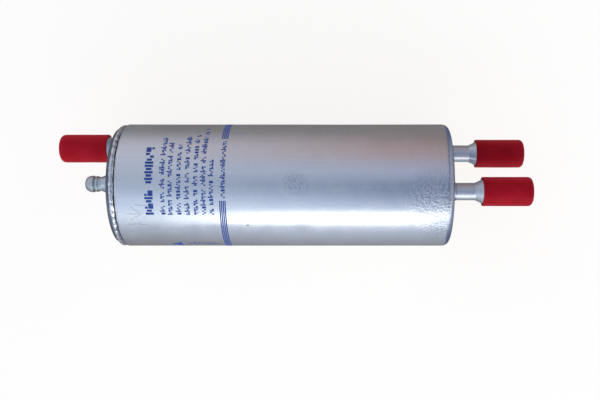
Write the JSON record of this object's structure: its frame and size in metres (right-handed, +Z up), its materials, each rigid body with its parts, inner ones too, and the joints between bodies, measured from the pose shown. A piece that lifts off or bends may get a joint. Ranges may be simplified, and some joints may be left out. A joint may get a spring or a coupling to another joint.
{
  "type": "in-line fuel filter",
  "caption": "In-line fuel filter: welded aluminium can with pleated element, built-in pressure regulator, hose stubs under pull-off red caps and a reference nipple.",
  "frame": {"origin": "on the can's axis, halfway along the body, where a clamp band holds it", "axes": "+X along the can's axis from the lid to the closed end, +Z up, away from what the filter lies on in the picture"},
  "size_m": [0.2226, 0.058, 0.058],
  "materials": {
    "can_aluminium": "drawn aluminium, satin with fine streaks along the can",
    "weld_metal": "rippled bright weld",
    "stub_metal": "turned, bright",
    "red_cap": "soft dip-moulded vinyl, half gloss",
    "filter_paper": "resin-treated paper",
    "tinned_steel": "tinned, satin",
    "zinc_steel": "yellow zinc plate",
    "spring_steel": "oiled spring wire",
    "brass": "turned",
    "black_rubber": "matt",
    "seal_rubber": "matt, dark green"
  },
  "bodies": {
    "canister": {"can_shell": "can_aluminium", "end_lid": "can_aluminium", "seam_weld_bead": "weld_metal", "inlet_stub": "stub_metal", "return_stub": "stub_metal", "outlet_stub": "stub_metal", "reference_nipple": "stub_metal", "inlet_stub_weld": "weld_metal", "return_stub_weld": "weld_metal", "outlet_stub_weld": "weld_metal", "nipple_weld": "weld_metal", "pleated_media": "filter_paper", "core_tube": "tinned_steel", "element_front_disc": "tinned_steel", "element_rear_disc": "tinned_steel", "element_gasket": "seal_rubber", "rear_grommet": "black_rubber", "hold_down_spring": "spring_steel", "partition_plate": "tinned_steel", "partition_o_ring": "black_rubber", "return_tube": "tinned_steel", "return_tube_front_sleeve": "black_rubber", "return_tube_rear_sleeve": "black_rubber", "reference_hose": "black_rubber", "regulator_cover": "zinc_steel", "regulator_body": "zinc_steel", "diaphragm": "black_rubber", "spring_adjuster": "brass", "regulator_spring": "spring_steel", "valve_seat_tube": "brass", "regulator_gasket": "seal_rubber", "regulator_lock_ring": "spring_steel"},
    "regulator_valve": {"spring_cup": "zinc_steel", "backing_plate": "zinc_steel", "valve_stem": "brass", "valve_disc": "seal_rubber"},
    "inlet_cap_body": {"inlet_cap": "red_cap"},
    "return_cap_body": {"return_cap": "red_cap"},
    "outlet_cap_body": {"outlet_cap": "red_cap"}
  },
  "joints": [
    {"name": "inlet_cap_pull", "type": "slide", "parent": "canister", "child": "inlet_cap_body", "axis": [1, 0, 0], "range_m": [0, 0.032]},
    {"name": "return_cap_pull", "type": "slide", "parent": "canister", "child": "return_cap_body", "axis": [1, 0, 0], "range_m": [0, 0.032]},
    {"name": "outlet_cap_pull", "type": "slide", "parent": "canister", "child": "outlet_cap_body", "axis": [-1, 0, 0], "range_m": [0, 0.032]},
    {"name": "regulator_valve_lift", "type": "slide", "parent": "canister", "child": "regulator_valve", "axis": [-1, 0, 0], "range_m": [0, 0.001], "stiffness_N_per_m": 800, "deforming": ["regulator_spring", "diaphragm"]}
  ]
}
